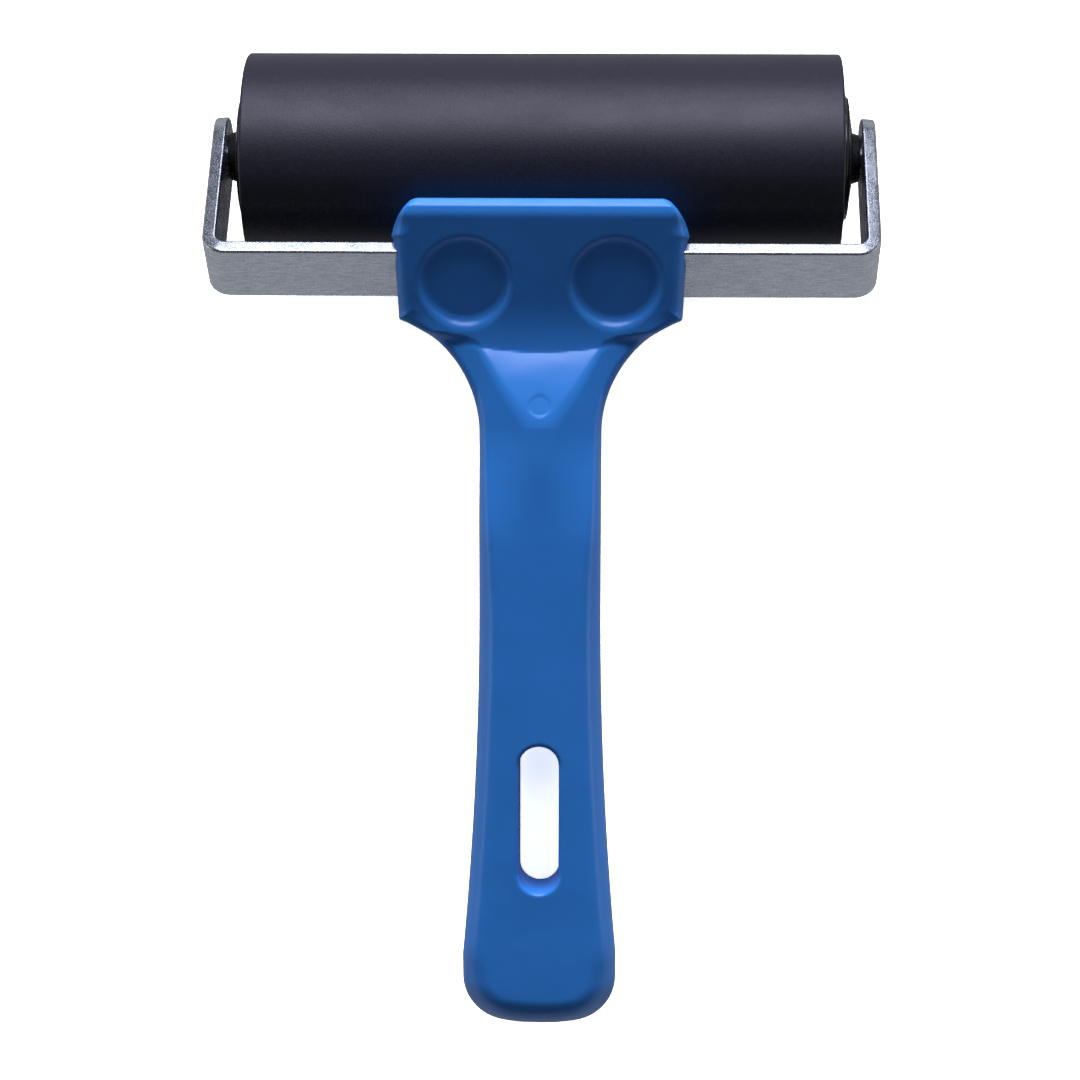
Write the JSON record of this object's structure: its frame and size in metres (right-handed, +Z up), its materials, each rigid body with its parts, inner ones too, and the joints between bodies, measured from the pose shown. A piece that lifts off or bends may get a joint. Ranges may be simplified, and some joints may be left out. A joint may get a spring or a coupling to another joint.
{
  "type": "brayer",
  "caption": "Hand brayer: a free-turning rubber roller in a bent steel yoke, with an angled moulded plastic handle that has a hanging slot.",
  "frame": {"origin": "middle of the footprint, on the surface that the roller and the end of the handle rest on", "axes": "X along the roller, +Y from the handle's end to the roller, +Z up"},
  "size_m": [0.112, 0.1654, 0.0402],
  "materials": {
    "handle_plastic": "glossy moulded polypropylene",
    "zinc_plated_steel": "bright zinc plate with a fine drawn grain",
    "rivet_steel": "plain bright steel",
    "axle_steel": "turned bright steel",
    "roller_rubber": "ground satin rubber",
    "core_tube": "plain drawn tube",
    "cap_black": "moulded black plastic",
    "bush_black": "moulded black plastic"
  },
  "bodies": {
    "frame": {"handle": "handle_plastic", "yoke": "zinc_plated_steel", "head_rivets": "rivet_steel", "axle": "axle_steel"},
    "roller": {"roller_sleeve": "roller_rubber", "roller_core": "core_tube", "end_cap_left": "cap_black", "end_cap_right": "cap_black", "bush_left": "bush_black", "bush_right": "bush_black"}
  },
  "joints": [
    {"name": "roller_spin", "type": "hinge", "parent": "frame", "child": "roller", "pos_m": [0, 0.06516, 0.0175], "axis": [1, 0, 0], "continuous": true}
  ]
}
